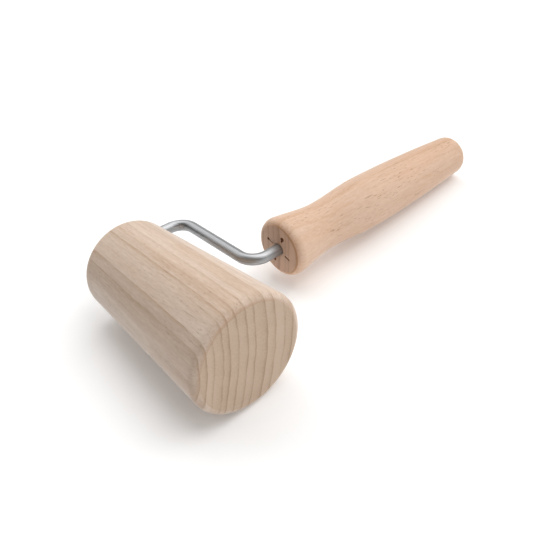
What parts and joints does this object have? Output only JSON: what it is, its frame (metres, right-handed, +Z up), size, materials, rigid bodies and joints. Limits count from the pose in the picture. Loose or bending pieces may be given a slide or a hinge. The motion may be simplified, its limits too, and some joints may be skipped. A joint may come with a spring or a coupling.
{
  "type": "tapered hand roller",
  "caption": "Tapered beech hand roller: the cone spins on the axle of a bent steel wire frame, which is pressed into a turned beech handle.",
  "frame": {"origin": "centre of the base of the whole tool's box, on the surface it rests on", "axes": "+Z up, +Y along the tool from roller to handle, +X towards the roller's large end; the tool lies at rest on one line of the cone and on the handle's tip, so the roller's axis rises 2.9 degrees towards +X and the handle falls 4.1 degrees towards +Y"},
  "size_m": [0.1172, 0.2456, 0.0592],
  "materials": {
    "roller_beech": "bare sanded beech",
    "handle_beech": "bare sanded beech",
    "wire_steel": "bright drawn wire",
    "nylon": "natural moulded",
    "spring_steel": "bare"
  },
  "bodies": {
    "frame": {"wire_frame": "wire_steel", "handle": "handle_beech", "retaining_ring": "spring_steel"},
    "roller_body": {"roller": "roller_beech", "mouth_bush": "nylon", "inner_bush": "nylon"}
  },
  "joints": [
    {"name": "roller_spin", "type": "hinge", "parent": "frame", "child": "roller_body", "pos_m": [-0.04253, -0.09315, 0.02482], "axis": [0.9988, 0, 0.0499], "continuous": true}
  ]
}
